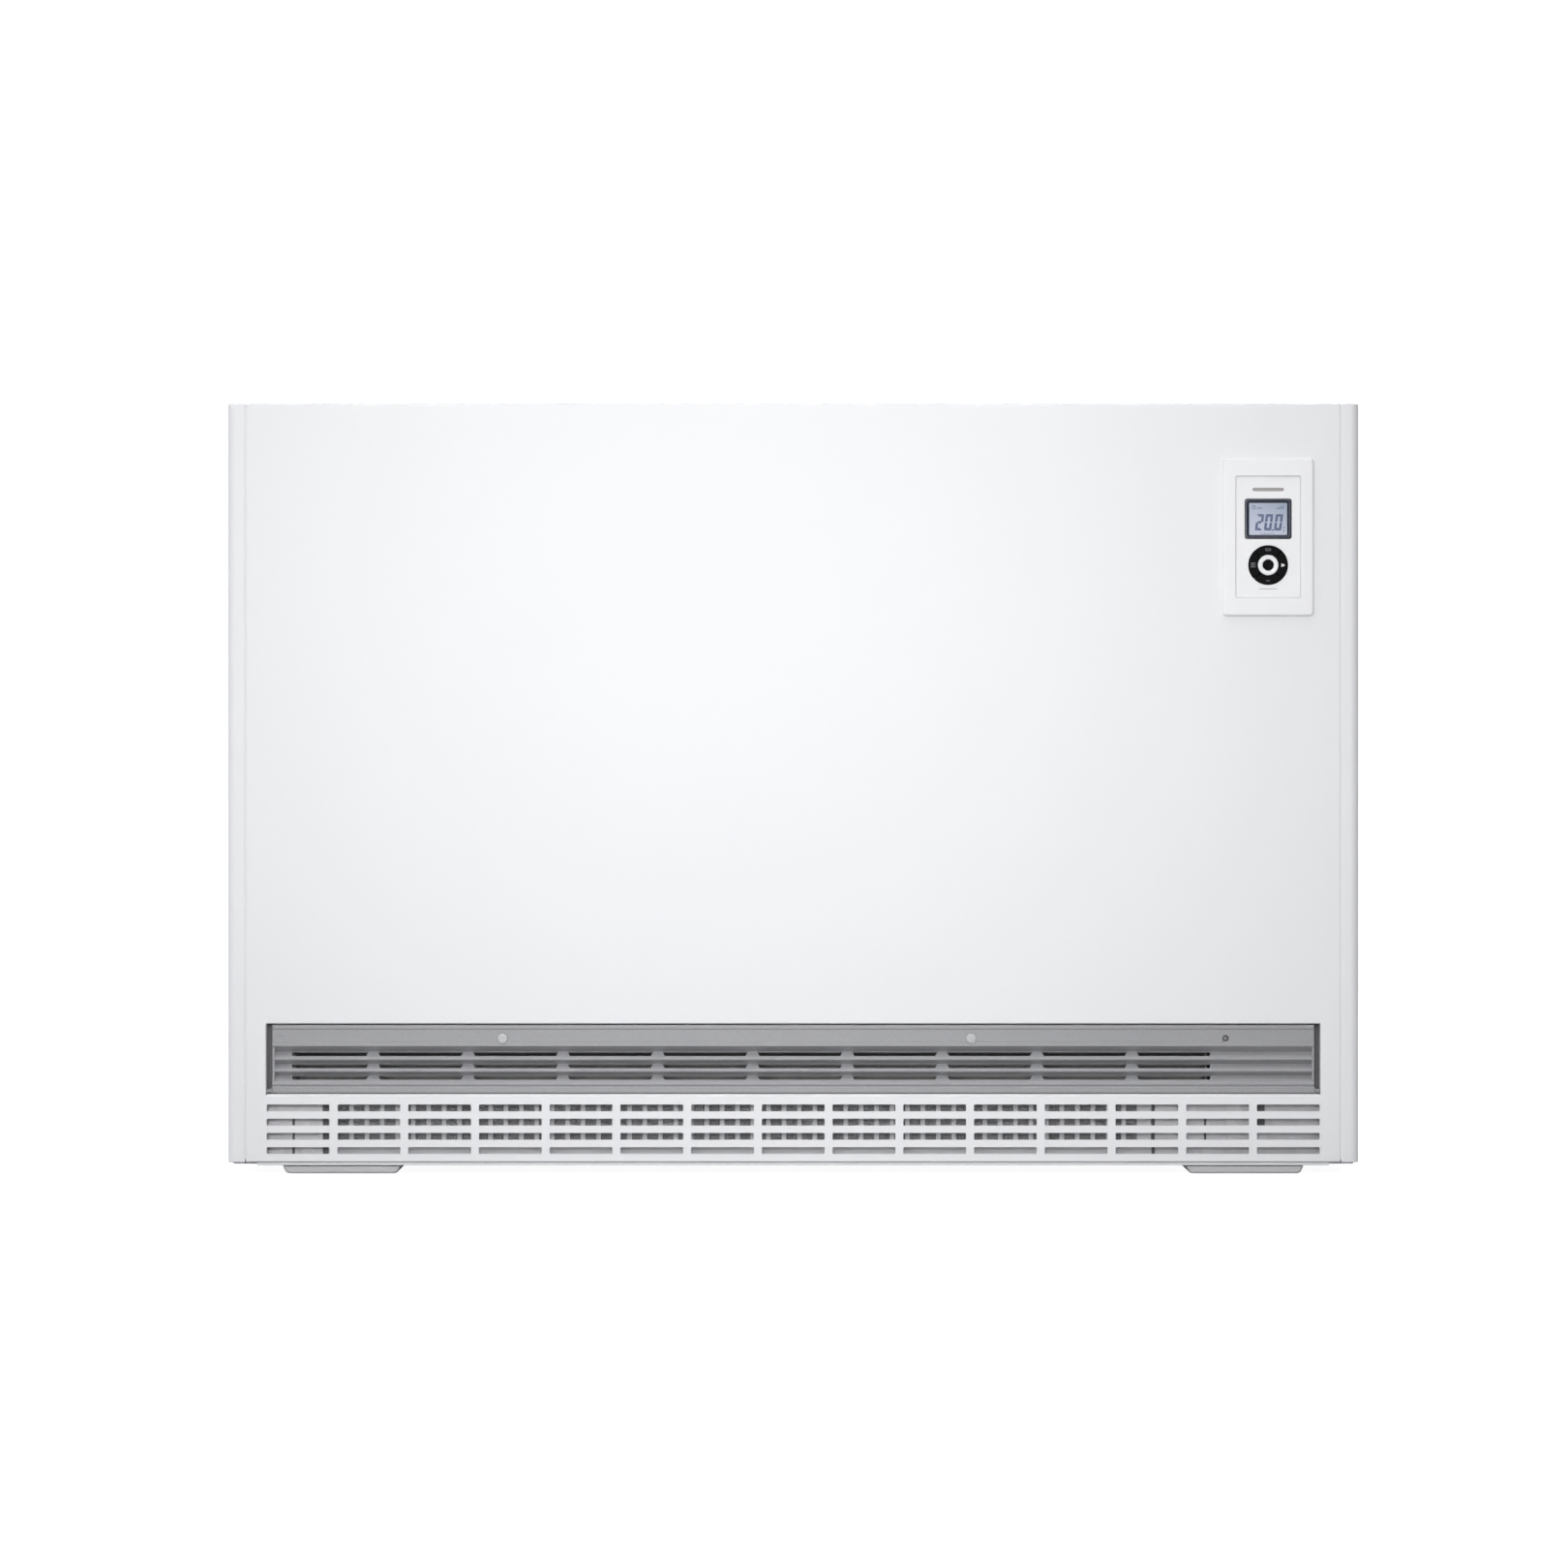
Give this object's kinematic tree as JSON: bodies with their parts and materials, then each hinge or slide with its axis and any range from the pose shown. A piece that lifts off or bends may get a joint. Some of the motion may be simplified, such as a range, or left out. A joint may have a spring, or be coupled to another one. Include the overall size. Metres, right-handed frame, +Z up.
{
  "type": "storage heater",
  "caption": "Flat floor-standing fan-assisted electric storage heater on two low feet, with a swing-out front panel, a low outlet grille, intake slots and a keypad display.",
  "frame": {"origin": "on the floor, at the centre of the footprint", "axes": "+X to the right of a person facing the front, -Y out of the front, +Y towards the wall, +Z up"},
  "size_m": [0.955, 0.25, 0.65],
  "materials": {
    "white_powder_coat": "satin",
    "grey_foot": "satin",
    "silver_grey_coat": "satin",
    "white_plastic": "satin",
    "navy_plastic": "gloss",
    "display": "gloss",
    "black_plastic": "satin",
    "grey_plastic": "matte",
    "zinc_sheet": "satin",
    "steel": "satin",
    "aluminium": "satin",
    "insulation_board": "matte",
    "vermiculite_board": "matte",
    "storage_brick": "matte",
    "bimetal": "satin",
    "circuit_board": "satin",
    "beige_thermoset": "satin",
    "black_rubber": "matte",
    "red_plastic": "satin"
  },
  "bodies": {
    "carcass": {"left_side_panel": "white_powder_coat", "right_side_panel": "white_powder_coat", "top_panel": "white_powder_coat", "rear_panel": "zinc_sheet", "base_frame": "zinc_sheet", "left_foot": "grey_foot", "right_foot": "grey_foot", "wall_bracket": "zinc_sheet", "partition_wall": "zinc_sheet", "inner_front_cover": "zinc_sheet", "front_insulation": "insulation_board", "rear_insulation": "insulation_board", "left_insulation": "insulation_board", "right_insulation": "insulation_board", "top_insulation": "insulation_board", "base_insulation": "vermiculite_board", "heating_element_lower": "steel", "heating_element_middle": "steel", "heating_element_upper": "steel", "fan_tray": "zinc_sheet", "fan_motor": "steel", "outlet_duct": "zinc_sheet", "bimetal_coil": "bimetal", "charge_controller": "circuit_board", "terminal_block": "beige_thermoset", "thermal_cutout": "beige_thermoset", "cable_grommet": "black_rubber", "storage_brick_column1_layer1": "storage_brick", "storage_brick_column1_layer2": "storage_brick", "storage_brick_column1_layer3": "storage_brick", "storage_brick_column1_layer4": "storage_brick", "storage_brick_column2_layer1": "storage_brick", "storage_brick_column2_layer2": "storage_brick", "storage_brick_column2_layer3": "storage_brick", "storage_brick_column2_layer4": "storage_brick", "storage_brick_column3_layer1": "storage_brick", "storage_brick_column3_layer2": "storage_brick", "storage_brick_column3_layer3": "storage_brick", "storage_brick_column3_layer4": "storage_brick"},
    "grille": {"outlet_grille": "silver_grey_coat"},
    "latch_left": {"grille_latch_left": "silver_grey_coat"},
    "latch_right": {"grille_latch_right": "silver_grey_coat"},
    "key_up": {"nav_key_up": "black_plastic"},
    "key_down": {"nav_key_down": "black_plastic"},
    "key_left": {"nav_key_left": "black_plastic"},
    "key_right": {"nav_key_right": "black_plastic"},
    "ok_key": {"ok_button": "black_plastic"},
    "rotor": {"fan_rotor_left": "aluminium", "fan_rotor_right": "aluminium", "fan_shaft": "steel"},
    "damper": {"damper_flap": "zinc_sheet"},
    "filter": {"intake_filter": "grey_plastic"},
    "reset": {"reset_button": "red_plastic"},
    "front_assembly": {"front_panel": "white_powder_coat", "control_bezel": "white_plastic", "control_faceplate": "white_plastic", "display_frame": "navy_plastic", "display_module": "display", "nav_collar": "white_plastic", "control_board": "circuit_board"}
  },
  "joints": [
    {"name": "front_panel_swing", "type": "hinge", "parent": "carcass", "child": "front_assembly", "pos_m": [0, -0.1086, 0.65], "axis": [-1, 0, 0], "range_deg": [0, 30]},
    {"name": "grille_tilt", "type": "hinge", "parent": "front_assembly", "child": "grille", "pos_m": [0, -0.1155, 0.0694], "axis": [1, 0, 0], "range_deg": [0, 80]},
    {"name": "latch_left_turn", "type": "hinge", "parent": "grille", "child": "latch_left", "pos_m": [-0.2455, -0.1175, 0.1141], "axis": [0, -1, 0], "range_deg": [0, 90]},
    {"name": "latch_right_turn", "type": "hinge", "parent": "grille", "child": "latch_right", "pos_m": [0.1503, -0.1175, 0.1141], "axis": [0, -1, 0], "range_deg": [0, 90]},
    {"name": "key_up_press", "type": "slide", "parent": "front_assembly", "child": "key_up", "axis": [0, 1, 0], "range_m": [0, 0.0008], "stiffness_N_per_m": 300, "springref_m": -0.002},
    {"name": "key_down_press", "type": "slide", "parent": "front_assembly", "child": "key_down", "axis": [0, 1, 0], "range_m": [0, 0.0008], "stiffness_N_per_m": 300, "springref_m": -0.002},
    {"name": "key_left_press", "type": "slide", "parent": "front_assembly", "child": "key_left", "axis": [0, 1, 0], "range_m": [0, 0.0008], "stiffness_N_per_m": 300, "springref_m": -0.002},
    {"name": "key_right_press", "type": "slide", "parent": "front_assembly", "child": "key_right", "axis": [0, 1, 0], "range_m": [0, 0.0008], "stiffness_N_per_m": 300, "springref_m": -0.002},
    {"name": "ok_key_press", "type": "slide", "parent": "front_assembly", "child": "ok_key", "axis": [0, 1, 0], "range_m": [0, 0.0008], "stiffness_N_per_m": 300, "springref_m": -0.002},
    {"name": "fan_spin", "type": "hinge", "parent": "carcass", "child": "rotor", "pos_m": [0, 0.03, 0.06], "axis": [1, 0, 0], "continuous": true},
    {"name": "damper_swing", "type": "hinge", "parent": "carcass", "child": "damper", "pos_m": [0, -0.0503, 0.115], "axis": [1, 0, 0], "range_deg": [0, 30]},
    {"name": "filter_lift", "type": "slide", "parent": "carcass", "child": "filter", "axis": [0, 0, 1], "range_m": [0, 0.045]},
    {"name": "reset_press", "type": "slide", "parent": "carcass", "child": "reset", "axis": [-1, 0, 0], "range_m": [0, 0.0015], "stiffness_N_per_m": 400, "springref_m": -0.001}
  ]
}
